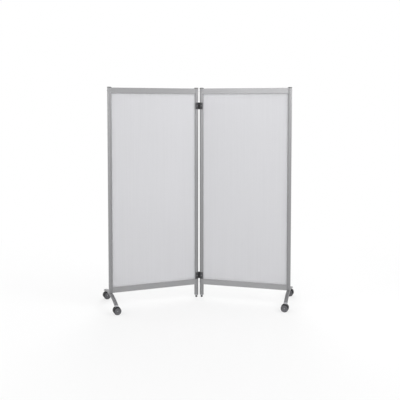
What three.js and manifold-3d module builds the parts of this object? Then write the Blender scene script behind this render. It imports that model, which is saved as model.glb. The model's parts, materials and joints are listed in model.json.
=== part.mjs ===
// Rolling partition of two framed, translucent panels joined by two vertical hinges.
//
// Each panel has a twin-wall sheet held by two extruded rails and two grooved round posts.
// The outer post stands on an arched foot with a twin-wheel caster at each end, and the
// inner post stands on a glide. The hinge pins lie between the two inner posts.
// Millimetres, +Z up, floor at z = 0, the origin at the middle of the footprint.

import * as THREE from 'three';
import { mergeVertices } from 'three/addons/utils/BufferGeometryUtils.js';
import Module from 'manifold-3d';

const wasm = await Module();
wasm.setup();

// ---- Driving dimensions ------------------------------------------------------------

const overallHeight = 1740;
const panelPitch = 720; // between the two post axes of a panel
const restTurn = 17; // degrees that each panel is turned forwards at rest
const seatGap = 0.3; // between two pieces that touch

const postDiameter = 32;
const postWall = 1.5;
const grooveDepth = 5;

const railHeight = 44;
const railThickness = 22;
const railWall = 1.5;
const railSlotDepth = 12;
const railCornerRadius = 2;

const sheetThickness = 8;
const sheetSkin = 0.8;
const sheetRib = 0.8;
const cellPitch = 12;
const sheetEdgeGap = 0.8; // between the sheet's edge and the floor of its groove

const capDiameter = 35;
const capHeight = 6.5;
const capBand = 2.6; // upright edge below the crown
const capShoulder = 1.5;
const capRim = 6; // from the cap's edge to its nearly flat top
const capRise = 0.3; // of that top, towards its middle
const insertDepth = 22;
const insertWall = 1.6;

const plugTaperHeight = 8.3;
const plugBand = 2; // upright edge above the taper
const plugTipDiameter = 22;
const glideDiameter = 17;
const glideHeight = 11;
const glideBevel = 1.5;
const glideStemDiameter = 8;
const glideReveal = 2.7; // bare stem between the glide and the plug
const glideStemLength = 23;

const hingeReach = 23.5; // from the pin axis to an inner post axis
const hingeHeight = 54;
const hingeBelowTopRail = 98;
const hingeAboveBottomRail = 31;
const pinDiameter = 5;
const pinHeadDiameter = 9;
const pinHeadHeight = 2.2;
const pinHeadBevel = 1.1;
const pinTail = 1.8;
const pinTailBevel = 1;
const knuckleDiameter = 11;
const knuckleClearance = 0.5; // round the other leaf's knuckles
const knuckleWebThickness = 9;
const clipWall = 2.7;
const clipMouth = 51; // degrees from the panel's plane to each lip of the clip
const stopAngle = 49; // degrees from the panel's plane to each stop flat

const footHalfSpan = 202; // from the post axis to a caster stem
const footRadius = 780;
const footTubeWidth = 30;
const footTubeHeight = 15;
const footTubeWall = 1.5;
const footOverhang = 14; // tube past the caster stem
const spigotLength = 60;
const bushDiameter = 16;
const bushDrop = 11; // from the tube's middle line to the bush's lower face
const endPlugDepth = 4.5;
const endPlugFlange = 2.5;
const endPlugBevel = 0.8;

const wheelDiameter = 58;
const wheelWidth = 15.5;
const wheelSpacing = 14; // between the inner faces of a caster's two wheels
const tyreThickness = 3;
const tyreCrown = 0.8;
const rimWall = 2.5;
const hubDiameter = 13;
const wheelWeb = 2.5;
const wheelRecess = 3;
const casterTrail = 8;
const axleDiameter = 5;
const hoodGap = 0.8;
const hoodWall = 1.7;
const hoodStart = 78; // degrees above the trailing side
const hoodEnd = 192;
const cheekHubWall = 3; // round the hub
const cheekHubStart = 240; // degrees, as for the hood
const cheekHubEnd = 390;
const housingClearance = 0.6; // to the inner face of each wheel
const collarDiameter = 15.5;
const collarRise = 1;
const collarSink = 6.8; // down into the hood
const stemDiameter = 10;
const stemLength = 14;
const stemFlangeThickness = 1.2;
const pivotDiameter = 8;
const pivotLength = 21;
const pivotTipRoom = 1; // under the pivot in its bore
const ringGrooveDepth = 0.8;
const ringGrooveWidth = 1.5;

// ---- Facets, and what the cutters need -----------------------------------------------

const roundSides = 20;
const smallRoundSides = 12;
const wheelSides = 18; // shared by a wheel and its tyre, which fit flat to flat
const wheelRoomSides = 24;
const saddleSides = 32;
const postArcSteps = 12; // half the facets round a post
const insertArcSteps = 6; // half the facets round a piece pushed into a post
const clipArcSteps = 10;
const hoodArcSteps = 6;
const ovalArcSteps = 3;
const cornerArcSteps = 3;
const archSteps = 10;

const cutPast = 1; // how far a cutter runs past what it cuts
const bond = 1; // how far a fused piece sinks into what carries it
const weldDistance = 1e-4;

// ---- Derived heights and places ----------------------------------------------------

const deg = Math.PI / 180;
const postRadius = postDiameter / 2;
const grooveHalf = sheetThickness / 2 + seatGap;
const wheelRadius = wheelDiameter / 2;
const hoodRadius = wheelRadius + hoodGap + hoodWall;
const collarTop = wheelRadius + hoodRadius + collarRise;
const stemFlangeTop = collarTop + seatGap + stemFlangeThickness;
const bushBottom = stemFlangeTop + seatGap;

const archCentre = bushBottom + bushDrop - archDrop(footHalfSpan) - footRadius;
const archTop = archCentre + footRadius + footTubeHeight / 2;

const outerPostBottom = archTop + seatGap;
const plugBottom = glideHeight + glideReveal;
const innerPostBottom = plugBottom + plugTaperHeight + seatGap;
const capSeat = overallHeight - capHeight;
const postTop = capSeat - seatGap;
const topRailTop = postTop;
const topRailBottom = topRailTop - railHeight;
const bottomRailBottom = outerPostBottom;
const bottomRailTop = bottomRailBottom + railHeight;

const innerPostX = hingeReach;
const outerPostX = hingeReach + panelPitch;
const upperHingeZ = topRailBottom - hingeBelowTopRail;
const lowerHingeZ = bottomRailTop + hingeAboveBottomRail;

// ---- Materials ---------------------------------------------------------------------

function finish(name, color, roughness, metalness) {
  return new THREE.MeshStandardMaterial({ name, color, roughness, metalness });
}

const silverPaint = finish('silver_paint', 0x9c9ca0, 0.45, 0.6);
const railAlloy = finish('anodised_rail', 0xa8a8ac, 0.4, 0.8);
const clearSheet = finish('translucent_sheet', 0xd8d8dc, 0.35, 0);
clearSheet.transparent = true;
clearSheet.opacity = 0.8;
const darkPlastic = finish('dark_grey_plastic', 0x4c4c4e, 0.55, 0);
const capPlastic = finish('cap_grey_plastic', 0x77777a, 0.5, 0);
const palePlastic = finish('pale_grey_plastic', 0xa9a9ad, 0.5, 0);
const blackPlastic = finish('black_plastic', 0x1c1c1e, 0.6, 0);
const wheelPlastic = finish('wheel_grey_plastic', 0x66666a, 0.5, 0);
const tyreRubber = finish('tyre_rubber', 0x2b2b2d, 0.8, 0);
const zincSteel = finish('zinc_plated_steel', 0xb4b6b8, 0.35, 0.9);

// ---- Solid helpers -----------------------------------------------------------------

function signedVolume(position, index) {
  const corners = [new THREE.Vector3(), new THREE.Vector3(), new THREE.Vector3()];
  let volume = 0;
  for (let i = 0; i < index.length; i += 3) {
    corners.forEach((corner, k) => corner.fromArray(position, 3 * index[i + k]));
    volume += corners[0].dot(corners[1].cross(corners[2])) / 6;
  }
  return volume;
}

// A closed geometry as a solid whose faces point outwards.
function solid(geometry) {
  const bare = geometry.clone();
  bare.deleteAttribute('normal');
  bare.deleteAttribute('uv');
  const merged = mergeVertices(bare, weldDistance);
  const position = Float32Array.from(merged.attributes.position.array);
  const source = merged.index.array;
  const kept = [];
  for (let i = 0; i < source.length; i += 3) {
    const [a, b, c] = [source[i], source[i + 1], source[i + 2]];
    if (a !== b && b !== c && c !== a) kept.push(a, b, c);
  }
  if (signedVolume(position, kept) < 0) kept.reverse();
  const mesh = { numProp: 3, vertProperties: position, triVerts: Uint32Array.from(kept) };
  return new wasm.Manifold(new wasm.Mesh(mesh));
}

function geometryOf(body) {
  const mesh = body.getMesh();
  const geometry = new THREE.BufferGeometry();
  geometry.setAttribute('position', new THREE.Float32BufferAttribute(mesh.vertProperties, 3));
  geometry.setIndex(Array.from(mesh.triVerts));
  geometry.computeVertexNormals();
  return geometry;
}

function part(name, body, material) {
  const mesh = new THREE.Mesh(geometryOf(body), material.clone());
  mesh.name = name;
  return mesh;
}

// A shape in the XY plane, raised from z0 to z1.
function prism(shape, z0, z1, curveSegments = 1) {
  const options = { depth: z1 - z0, bevelEnabled: false, curveSegments };
  return new THREE.ExtrudeGeometry(shape, options).translate(0, 0, z0);
}

// A shape drawn in (y, z) and run along X from x0 to x1.
function runAlongX(shape, x0, x1, curveSegments) {
  const turn = new THREE.Matrix4().makeBasis(
    new THREE.Vector3(0, 1, 0),
    new THREE.Vector3(0, 0, 1),
    new THREE.Vector3(1, 0, 0),
  );
  return prism(shape, x0, x1, curveSegments).applyMatrix4(turn);
}

// A shape drawn in (x, z) and run along Y, half its width to each side.
function runAlongY(shape, width, curveSegments) {
  return prism(shape, -width / 2, width / 2, curveSegments).rotateX(Math.PI / 2);
}

// A profile of [radius, height] points turned about the Z axis.
function turned(points, sides = roundSides) {
  const profile = points.map(([radius, height]) => new THREE.Vector2(radius, height));
  return new THREE.LatheGeometry(profile, sides).rotateX(Math.PI / 2);
}

// The same, closed on itself, for a ring with a hole through it.
function turnedRing(points, sides = roundSides) {
  return turned([...points, points[0]], sides);
}

function rod(diameter, z0, z1, sides = roundSides) {
  const radius = diameter / 2;
  return turned([[0, z0], [radius, z0], [radius, z1], [0, z1]], sides);
}

function polygon(points) {
  return new THREE.Shape(points.map(([x, y]) => new THREE.Vector2(x, y)));
}

function rectangle(x0, y0, x1, y1) {
  return polygon([[x0, y0], [x1, y0], [x1, y1], [x0, y1]]);
}

// ---- Posts -------------------------------------------------------------------------

// The post's outside: round, with a square groove for the sheet on its +X side.
function postOutside() {
  const lip = Math.asin(grooveHalf / postRadius);
  const floor = postRadius - grooveDepth;
  const shape = new THREE.Shape();
  shape.absarc(0, 0, postRadius, lip, 2 * Math.PI - lip, false);
  shape.lineTo(floor, -grooveHalf);
  shape.lineTo(floor, grooveHalf);
  return shape;
}

// The post's hollow, drawn in by a clearance for what is pushed into it.
function postHollow(clearance = 0) {
  const radius = postRadius - postWall - clearance;
  const half = grooveHalf + postWall + clearance;
  const floor = postRadius - grooveDepth - postWall - clearance;
  const corner = Math.asin(half / radius);
  const shape = new THREE.Shape();
  shape.absarc(0, 0, radius, corner, 2 * Math.PI - corner, false);
  shape.lineTo(floor, -half);
  shape.lineTo(floor, half);
  return shape;
}

function post(bottom) {
  const shape = postOutside();
  shape.holes.push(postHollow());
  return solid(prism(shape, bottom, postTop, postArcSteps));
}

// The cap has a crowned flange and a hollow insert in the post's section.
function postCap() {
  const radius = capDiameter / 2;
  const crown = turned([
    [0, 0],
    [radius, 0],
    [radius, capBand],
    [radius - capShoulder, capHeight - capShoulder],
    [radius - capRim, capHeight - capRise],
    [0, capHeight],
  ]);
  const wall = postHollow(seatGap);
  wall.holes.push(postHollow(seatGap + insertWall));
  const insert = solid(prism(wall, -insertDepth, bond, insertArcSteps));
  return solid(crown).add(insert).translate([0, 0, capSeat]);
}

// The plug closes the inner post and takes the glide's stem.
function postPlug() {
  const shoulder = plugBottom + plugTaperHeight;
  const tip = plugTipDiameter / 2;
  const taper = turned([
    [0, plugBottom],
    [tip, plugBottom],
    [postRadius, shoulder - plugBand],
    [postRadius, shoulder],
    [0, shoulder],
  ]);
  const section = postHollow(seatGap);
  const insertTop = shoulder + insertDepth;
  const insert = solid(prism(section, shoulder - bond, insertTop, insertArcSteps));
  const boreDiameter = glideStemDiameter + 2 * seatGap;
  const bore = rod(boreDiameter, plugBottom - cutPast, insertTop + cutPast, smallRoundSides);
  return solid(taper).add(insert).subtract(solid(bore));
}

function glide() {
  const pad = glideDiameter / 2;
  const stem = glideStemDiameter / 2;
  return solid(turned([
    [0, 0],
    [pad - glideBevel, 0],
    [pad, glideBevel],
    [pad, glideHeight - glideBevel],
    [pad - glideBevel, glideHeight],
    [stem, glideHeight],
    [stem, glideHeight + glideStemLength],
    [0, glideHeight + glideStemLength],
  ], smallRoundSides));
}

// ---- Rails and sheet ---------------------------------------------------------------

// The rail's section in (y, z), with its slot upwards and its middle at the origin.
function railSection() {
  const half = railThickness / 2;
  const top = railHeight / 2;
  const round = railCornerRadius;
  const slotFloor = top - railSlotDepth;
  const shape = new THREE.Shape();
  shape.moveTo(-half + round, -top);
  shape.lineTo(half - round, -top);
  shape.absarc(half - round, -top + round, round, -Math.PI / 2, 0, false);
  shape.lineTo(half, top);
  shape.lineTo(grooveHalf, top);
  shape.lineTo(grooveHalf, slotFloor);
  shape.lineTo(-grooveHalf, slotFloor);
  shape.lineTo(-grooveHalf, top);
  shape.lineTo(-half, top);
  shape.lineTo(-half, -top + round);
  shape.absarc(-half + round, -top + round, round, Math.PI, 1.5 * Math.PI, false);
  const inner = half - railWall;
  const armSide = grooveHalf + railWall;
  const chamberTop = slotFloor - railWall;
  shape.holes.push(polygon([
    [-inner, -top + railWall],
    [inner, -top + railWall],
    [inner, top - railWall],
    [armSide, top - railWall],
    [armSide, chamberTop],
    [-armSide, chamberTop],
    [-armSide, top - railWall],
    [-inner, top - railWall],
  ]));
  return shape;
}

// A rail is saddle cut at both ends to sit against the round posts.
function rail(bottom, slotUp, side) {
  const middle = bottom + railHeight / 2;
  const reach = Math.sqrt(postRadius ** 2 - (railThickness / 2) ** 2) - cutPast;
  const run = runAlongX(railSection(), innerPostX + reach, outerPostX - reach, cornerArcSteps);
  if (!slotUp) run.rotateX(Math.PI);
  let body = solid(run.translate(0, 0, middle));
  const cutDiameter = postDiameter + 2 * seatGap;
  for (const x of [innerPostX, outerPostX]) {
    const top = bottom + railHeight;
    const saddle = rod(cutDiameter, bottom - cutPast, top + cutPast, saddleSides);
    body = body.subtract(solid(saddle.translate(x, 0, 0)));
  }
  return side > 0 ? body : body.rotate([0, 0, 180]);
}

// The twin-wall sheet: two skins joined by upright ribs, its cells open at both ends.
function sheet(side) {
  const edge = postRadius - grooveDepth + sheetEdgeGap;
  const x0 = innerPostX + edge;
  const x1 = outerPostX - edge;
  const half = sheetThickness / 2;
  const grip = railSlotDepth - sheetEdgeGap;
  const z0 = bottomRailTop - grip;
  const z1 = topRailBottom + grip;
  const cells = Math.floor((x1 - x0 - sheetRib) / cellPitch);
  const pitch = (x1 - x0 - sheetRib) / cells;
  let body = solid(prism(rectangle(x0, -half, x1, half), z0, z1));
  for (let i = 0; i < cells; i++) {
    const left = x0 + sheetRib + i * pitch;
    const right = left + pitch - sheetRib;
    const cell = rectangle(left, -half + sheetSkin, right, half - sheetSkin);
    body = body.subtract(solid(prism(cell, z0 - cutPast, z1 + cutPast)));
  }
  return side > 0 ? body : body.rotate([0, 0, 180]);
}

// ---- Hinges ------------------------------------------------------------------------

// The clip that grips the post, open towards the sheet so that the sheet can pass.
function clipSection() {
  const inner = postRadius + seatGap;
  const outer = inner + clipWall;
  const lip = clipMouth * deg;
  const shape = new THREE.Shape();
  shape.absarc(hingeReach, 0, outer, lip, 2 * Math.PI - lip, false);
  shape.absarc(hingeReach, 0, inner, 2 * Math.PI - lip, lip, true);
  return shape;
}

// Everything of a leaf lies between its two stop flats, which meet the other leaf's.
function stopWedge() {
  const far = 2 * hingeReach + postRadius;
  const rise = far * Math.tan(stopAngle * deg);
  return polygon([[0, 0], [far, -rise], [far, rise]]);
}

// The heights, from the hinge's middle, of the knuckles of one leaf.
function knuckleSpans(middleLeaf) {
  const half = hingeHeight / 2;
  const joint = half / 2;
  if (middleLeaf) return [[-joint + seatGap / 2, joint - seatGap / 2]];
  return [[-half, -joint - seatGap / 2], [joint + seatGap / 2, half]];
}

function hingeLeaf(middleLeaf) {
  const half = hingeHeight / 2;
  const web = knuckleWebThickness / 2;
  const clipBack = hingeReach - postRadius - seatGap - clipWall / 2;
  const cutDiameter = knuckleDiameter + 2 * knuckleClearance;
  let body = solid(prism(clipSection(), -half, half, clipArcSteps));
  for (const [z0, z1] of knuckleSpans(!middleLeaf)) {
    body = body.subtract(solid(rod(cutDiameter, z0 - seatGap, z1 + seatGap)));
  }
  for (const [z0, z1] of knuckleSpans(middleLeaf)) {
    body = body.add(solid(prism(rectangle(0, -web, clipBack, web), z0, z1)));
  }
  body = body.intersect(solid(prism(stopWedge(), -half - cutPast, half + cutPast)));
  for (const [z0, z1] of knuckleSpans(middleLeaf)) {
    body = body.add(solid(rod(knuckleDiameter, z0, z1)));
  }
  const boreDiameter = pinDiameter + 2 * seatGap;
  const bore = rod(boreDiameter, -half - cutPast, half + cutPast, smallRoundSides);
  return body.subtract(solid(bore));
}

function hingePin() {
  const half = hingeHeight / 2;
  const shank = pinDiameter / 2;
  const head = pinHeadDiameter / 2;
  const seat = half + seatGap;
  return solid(turned([
    [0, -half - pinTail],
    [shank - pinTailBevel, -half - pinTail],
    [shank, -half - pinTail + pinTailBevel],
    [shank, seat],
    [head, seat],
    [head, seat + pinHeadHeight - pinHeadBevel],
    [head - pinHeadBevel, seat + pinHeadHeight],
    [0, seat + pinHeadHeight],
  ], smallRoundSides));
}

// ---- Feet --------------------------------------------------------------------------

// How far the arch has come down at a distance from its middle (a negative number).
function archDrop(distance) {
  return Math.sqrt(footRadius ** 2 - distance ** 2) - footRadius;
}

// A flat-sided oval, wider than it is high.
function ovalSection(width, height) {
  const end = height / 2;
  const flat = width / 2 - end;
  const shape = new THREE.Shape();
  shape.absarc(flat, 0, end, -Math.PI / 2, Math.PI / 2, false);
  shape.absarc(-flat, 0, end, Math.PI / 2, 1.5 * Math.PI, false);
  return shape;
}

class ArchCurve extends THREE.Curve {
  constructor(halfSpan) {
    super();
    this.halfAngle = Math.asin(halfSpan / footRadius);
  }

  getPoint(t, target = new THREE.Vector3()) {
    const angle = (2 * t - 1) * this.halfAngle;
    const y = footRadius * Math.sin(angle);
    return target.set(0, y, archCentre + footRadius * Math.cos(angle));
  }
}

function archBar(width, height, halfSpan) {
  const extrudePath = new ArchCurve(halfSpan);
  const options = {
    extrudePath,
    steps: archSteps,
    curveSegments: ovalArcSteps,
    bevelEnabled: false,
  };
  return solid(new THREE.ExtrudeGeometry(ovalSection(width, height), options));
}

// The arched oval tube, with the post's spigot and a bush for each caster stem.
function foot() {
  const end = footHalfSpan + footOverhang;
  const bore = 2 * footTubeWall;
  const hollow = archBar(footTubeWidth - bore, footTubeHeight - bore, end + cutPast);
  let body = archBar(footTubeWidth, footTubeHeight, end).subtract(hollow);
  const middle = archCentre + footRadius;
  const spigot = prism(postHollow(seatGap), middle, archTop + spigotLength, insertArcSteps);
  body = body.add(solid(spigot));
  const bushTop = bushBottom + stemLength + seatGap;
  for (const y of [-footHalfSpan, footHalfSpan]) {
    const bush = rod(bushDiameter, bushBottom, bushTop, smallRoundSides);
    const holeDiameter = stemDiameter + 2 * seatGap;
    const hole = rod(holeDiameter, bushBottom - cutPast, bushTop + cutPast, smallRoundSides);
    body = body.add(solid(bush.translate(0, y, 0)));
    body = body.subtract(solid(hole.translate(0, y, 0)));
  }
  return body;
}

// The plug that closes an end of the foot tube, made for the end at +Y.
function footEndPlug() {
  const inside = 2 * footTubeWall + 2 * seatGap;
  const neck = ovalSection(footTubeWidth - inside, footTubeHeight - inside);
  const trim = 2 * endPlugBevel;
  const plate = ovalSection(footTubeWidth - trim, footTubeHeight - trim);
  const flange = new THREE.ExtrudeGeometry(plate, {
    depth: endPlugFlange - trim,
    bevelThickness: endPlugBevel,
    bevelSize: endPlugBevel,
    bevelSegments: 1,
    curveSegments: ovalArcSteps,
  });
  flange.translate(0, 0, seatGap + endPlugBevel);
  const neckSolid = solid(prism(neck, -endPlugDepth, seatGap + bond, ovalArcSteps));
  const joined = solid(flange).add(neckSolid);
  const end = footHalfSpan + footOverhang;
  const slope = Math.asin(end / footRadius) / deg;
  const place = [0, end, archCentre + footRadius + archDrop(end)];
  return joined.rotate([-90, 0, 0]).rotate([-slope, 0, 0]).translate(place);
}

// ---- Casters -----------------------------------------------------------------------
// A caster is drawn with its stem on the Z axis and its wheels trailing towards +X.

function casterStem() {
  const shank = stemDiameter / 2;
  const pivot = pivotDiameter / 2;
  const flangeBottom = collarTop + seatGap;
  const tip = flangeBottom - pivotLength;
  const grooveBottom = tip + ringGrooveWidth;
  const grooveTop = grooveBottom + ringGrooveWidth;
  return solid(turned([
    [0, tip],
    [pivot, tip],
    [pivot, grooveBottom],
    [pivot - ringGrooveDepth, grooveBottom],
    [pivot - ringGrooveDepth, grooveTop],
    [pivot, grooveTop],
    [pivot, flangeBottom],
    [collarDiameter / 2, flangeBottom],
    [collarDiameter / 2, stemFlangeTop],
    [shank, stemFlangeTop],
    [shank, bushBottom + stemLength],
    [0, bushBottom + stemLength],
  ], smallRoundSides));
}

// The housing between the wheels: a teardrop cheek from the hub up to the hood.
function cheekSection() {
  const hub = hubDiameter / 2 + cheekHubWall;
  const shape = new THREE.Shape();
  shape.absarc(0, 0, hoodRadius - hoodWall / 2, hoodStart * deg, hoodEnd * deg, false);
  shape.absarc(0, 0, hub, cheekHubStart * deg, cheekHubEnd * deg, false);
  return shape;
}

function hoodSection() {
  const shape = new THREE.Shape();
  shape.absarc(0, 0, hoodRadius, hoodStart * deg, hoodEnd * deg, false);
  shape.absarc(0, 0, hoodRadius - hoodWall, hoodEnd * deg, hoodStart * deg, true);
  return shape;
}

function casterHousing() {
  const cheekWidth = wheelSpacing - 2 * housingClearance;
  const hoodWidth = wheelSpacing + 2 * wheelWidth;
  const cheek = runAlongY(cheekSection(), cheekWidth, hoodArcSteps);
  const hood = runAlongY(hoodSection(), hoodWidth, hoodArcSteps);
  const place = [casterTrail, 0, wheelRadius];
  const collarFoot = wheelRadius + hoodRadius - collarSink;
  const collar = solid(rod(collarDiameter, collarFoot, collarTop));
  const arched = solid(cheek).add(solid(hood)).translate(place);
  const body = arched.add(collar.subtract(wheelRoom()));
  const pivotFloor = collarTop - pivotLength - pivotTipRoom;
  const boreDiameter = pivotDiameter + 2 * seatGap;
  const pivotBore = rod(boreDiameter, pivotFloor, collarTop + cutPast, smallRoundSides);
  const axleBore = rod(axleDiameter + 2 * seatGap, -hoodWidth, hoodWidth, smallRoundSides);
  axleBore.rotateX(Math.PI / 2).translate(...place);
  return body.subtract(solid(pivotBore)).subtract(solid(axleBore));
}

// The two spaces that the wheels turn in.
function wheelRoom() {
  const inner = wheelSpacing / 2 - housingClearance;
  const outer = wheelSpacing / 2 + wheelWidth + cutPast;
  const diameter = 2 * (wheelRadius + hoodGap);
  const room = rod(diameter, inner, outer, wheelRoomSides).rotateX(Math.PI / 2);
  const one = solid(room).translate([casterTrail, 0, wheelRadius]);
  return one.add(one.rotate([0, 0, 180]).translate([2 * casterTrail, 0, 0]));
}

function casterAxle() {
  const length = wheelSpacing + 2 * wheelWidth - 2 * wheelRecess;
  const pin = rod(axleDiameter, -length / 2, length / 2, smallRoundSides);
  return solid(pin.rotateX(Math.PI / 2).translate(casterTrail, 0, wheelRadius));
}

// A moulded wheel: a dished face outside, and a hub, web and rim on the side of its twin.
function wheelCore() {
  const rim = wheelRadius - tyreThickness - seatGap;
  const inside = wheelSpacing / 2;
  const outside = inside + wheelWidth;
  const bore = axleDiameter / 2 + seatGap;
  const webOut = outside - wheelRecess;
  const webIn = webOut - wheelWeb;
  const hub = hubDiameter / 2;
  return turnedRing([
    [bore, inside],
    [hub, inside],
    [hub, webIn],
    [rim - rimWall, webIn],
    [rim - rimWall, inside],
    [rim, inside],
    [rim, outside],
    [rim - rimWall, outside],
    [bore, webOut],
  ], wheelSides);
}

function tyreRing() {
  const bore = wheelRadius - tyreThickness;
  const inside = wheelSpacing / 2 + seatGap;
  const outside = wheelSpacing / 2 + wheelWidth - seatGap;
  return turnedRing([
    [bore, inside],
    [wheelRadius - tyreCrown, inside],
    [wheelRadius, (inside + outside) / 2],
    [wheelRadius - tyreCrown, outside],
    [bore, outside],
  ], wheelSides);
}

// A ring drawn round Z, laid on the axle; end is +1 or -1 for the two ends.
function onAxle(ring, end) {
  ring.rotateX(end > 0 ? -Math.PI / 2 : Math.PI / 2);
  return solid(ring.translate(casterTrail, 0, wheelRadius));
}

function caster(prefix) {
  const group = new THREE.Group();
  group.add(part(`${prefix}_stem`, casterStem(), zincSteel));
  group.add(part(`${prefix}_housing`, casterHousing(), blackPlastic));
  group.add(part(`${prefix}_axle`, casterAxle(), zincSteel));
  for (const [label, end] of [['a', -1], ['b', 1]]) {
    group.add(part(`${prefix}_wheel_${label}`, onAxle(wheelCore(), end), wheelPlastic));
    group.add(part(`${prefix}_tyre_${label}`, onAxle(tyreRing(), end), tyreRubber));
  }
  return group;
}

// ---- Assembly ----------------------------------------------------------------------
// A panel is drawn from the hinge axis outwards: side is +1 to the right, -1 to the left.

function placed(object, x, y, turn) {
  object.position.set(x, y, 0);
  object.rotation.z = turn;
  return object;
}

function panelFrame(name, side) {
  const group = new THREE.Group();
  const inward = side > 0 ? Math.PI : 0; // turns a post's groove from +X to the hinge side
  const outward = Math.PI - inward;
  const innerX = side * innerPostX;
  const outerX = side * outerPostX;
  const inner = (piece) => placed(piece, innerX, 0, outward);
  const outer = (piece) => placed(piece, outerX, 0, inward);
  group.add(inner(part(`${name}_inner_post`, post(innerPostBottom), silverPaint)));
  group.add(outer(part(`${name}_outer_post`, post(outerPostBottom), silverPaint)));
  group.add(inner(part(`${name}_inner_cap`, postCap(), capPlastic)));
  group.add(outer(part(`${name}_outer_cap`, postCap(), capPlastic)));
  group.add(inner(part(`${name}_inner_plug`, postPlug(), palePlastic)));
  group.add(inner(part(`${name}_glide`, glide(), blackPlastic)));
  group.add(outer(part(`${name}_foot`, foot(), silverPaint)));
  group.add(part(`${name}_top_rail`, rail(topRailBottom, false, side), railAlloy));
  group.add(part(`${name}_bottom_rail`, rail(bottomRailBottom, true, side), railAlloy));
  group.add(part(`${name}_sheet`, sheet(side), clearSheet));
  return group;
}

function panelFootware(name, side) {
  const group = new THREE.Group();
  const outerX = side * outerPostX;
  const trailing = side > 0 ? Math.PI : 0; // wheels trail towards the hinge
  for (const [end, sign] of [['front', -1], ['rear', 1]]) {
    const prefix = `${name}_${end}`;
    const plug = part(`${prefix}_foot_plug`, footEndPlug(), palePlastic);
    group.add(placed(plug, outerX, 0, sign > 0 ? 0 : Math.PI));
    group.add(placed(caster(`${prefix}_caster`), outerX, sign * footHalfSpan, trailing));
  }
  return group;
}

function panelHingeLeaves(name, side) {
  const group = new THREE.Group();
  for (const [label, z] of [['upper', upperHingeZ], ['lower', lowerHingeZ]]) {
    const leaf = part(`${name}_${label}_hinge_leaf`, hingeLeaf(side > 0), darkPlastic);
    placed(leaf, 0, 0, side > 0 ? 0 : Math.PI);
    leaf.position.z = z;
    group.add(leaf);
  }
  return group;
}

function panel(name, side) {
  const group = new THREE.Group();
  group.add(panelFrame(name, side), panelFootware(name, side), panelHingeLeaves(name, side));
  group.rotation.z = -side * restTurn * deg;
  return group;
}

const partition = new THREE.Group();
partition.add(panel('left', -1), panel('right', 1));
for (const [label, z] of [['upper', upperHingeZ], ['lower', lowerHingeZ]]) {
  const pin = part(`${label}_hinge_pin`, hingePin(), zincSteel);
  pin.position.z = z;
  partition.add(pin);
}

// The hinge axis is moved back from the middle of the footprint.
const footprint = new THREE.Box3().setFromObject(partition, true);
partition.position.y = -(footprint.min.y + footprint.max.y) / 2;

export default partition;
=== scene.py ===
# %% [markdown]
# # A rolling partition
#
# Two translucent panels in silver frames, joined by two dark hinges. Each panel stands on a black
# glide beside the hinges and on an arched foot with two twin-wheel casters at its outer end.
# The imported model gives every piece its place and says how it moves. This file gives each piece
# its finished surface: rounded edges, smooth curves and the look of its material. All sizes are
# in metres, +Z is up and the floor is at z = 0.

# %% The frame
import json
import math

import bmesh
import bpy
from mathutils import Matrix, Vector

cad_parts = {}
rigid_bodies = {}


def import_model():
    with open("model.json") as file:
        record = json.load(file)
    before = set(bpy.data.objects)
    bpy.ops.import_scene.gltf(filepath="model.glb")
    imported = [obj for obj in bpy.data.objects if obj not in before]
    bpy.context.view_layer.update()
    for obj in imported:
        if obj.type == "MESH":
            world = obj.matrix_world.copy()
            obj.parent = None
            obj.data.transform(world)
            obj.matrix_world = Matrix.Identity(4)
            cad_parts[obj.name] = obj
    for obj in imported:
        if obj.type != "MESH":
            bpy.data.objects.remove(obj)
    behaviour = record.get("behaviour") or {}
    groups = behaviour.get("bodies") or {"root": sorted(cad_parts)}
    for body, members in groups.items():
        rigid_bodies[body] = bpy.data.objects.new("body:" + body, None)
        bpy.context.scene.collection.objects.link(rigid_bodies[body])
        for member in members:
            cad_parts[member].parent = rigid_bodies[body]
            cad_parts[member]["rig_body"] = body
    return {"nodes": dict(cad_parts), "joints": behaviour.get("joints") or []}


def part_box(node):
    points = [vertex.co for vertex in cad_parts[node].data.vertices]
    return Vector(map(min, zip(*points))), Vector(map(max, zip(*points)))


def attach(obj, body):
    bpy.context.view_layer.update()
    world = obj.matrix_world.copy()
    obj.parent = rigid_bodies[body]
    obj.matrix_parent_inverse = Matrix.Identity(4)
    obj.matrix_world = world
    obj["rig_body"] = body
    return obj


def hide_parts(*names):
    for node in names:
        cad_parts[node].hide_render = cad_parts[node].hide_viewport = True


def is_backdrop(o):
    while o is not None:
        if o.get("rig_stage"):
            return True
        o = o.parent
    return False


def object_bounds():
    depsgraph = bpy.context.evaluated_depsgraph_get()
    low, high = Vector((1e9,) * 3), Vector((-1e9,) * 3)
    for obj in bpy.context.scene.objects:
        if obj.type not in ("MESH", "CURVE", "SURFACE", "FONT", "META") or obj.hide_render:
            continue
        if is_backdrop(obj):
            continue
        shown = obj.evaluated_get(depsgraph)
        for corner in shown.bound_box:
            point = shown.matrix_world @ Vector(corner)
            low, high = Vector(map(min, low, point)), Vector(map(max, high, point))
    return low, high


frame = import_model()
cad_low, cad_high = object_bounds()
print("size of the packed model:", [round(size, 4) for size in cad_high - cad_low])

# %% [markdown]
# ## Camera
#
# The picture was taken from a little to the left at about eye height, and the upright posts run
# nearly parallel in it, so the lens was shifted down and the camera was hardly tipped. A camera
# can be matched by trial, or solved from points whose real places are known. The second way was
# used: post axes, rail edges and the casters' contact points gave one place, lens and shift.

# %% The camera at the picture's viewing angle
PICTURE_SIZE = 400  # pixels each way
FOCAL_LENGTH = 599.1  # pixels
LENS_AXIS_ROW = 140.0  # pixels from the top, where the lens axis meets the picture
CAMERA_PLACE = (-0.2350, -4.7185, 1.5695)
CAMERA_TIP = math.radians(3.006)
CAMERA_TURN = math.radians(2.828)

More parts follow.
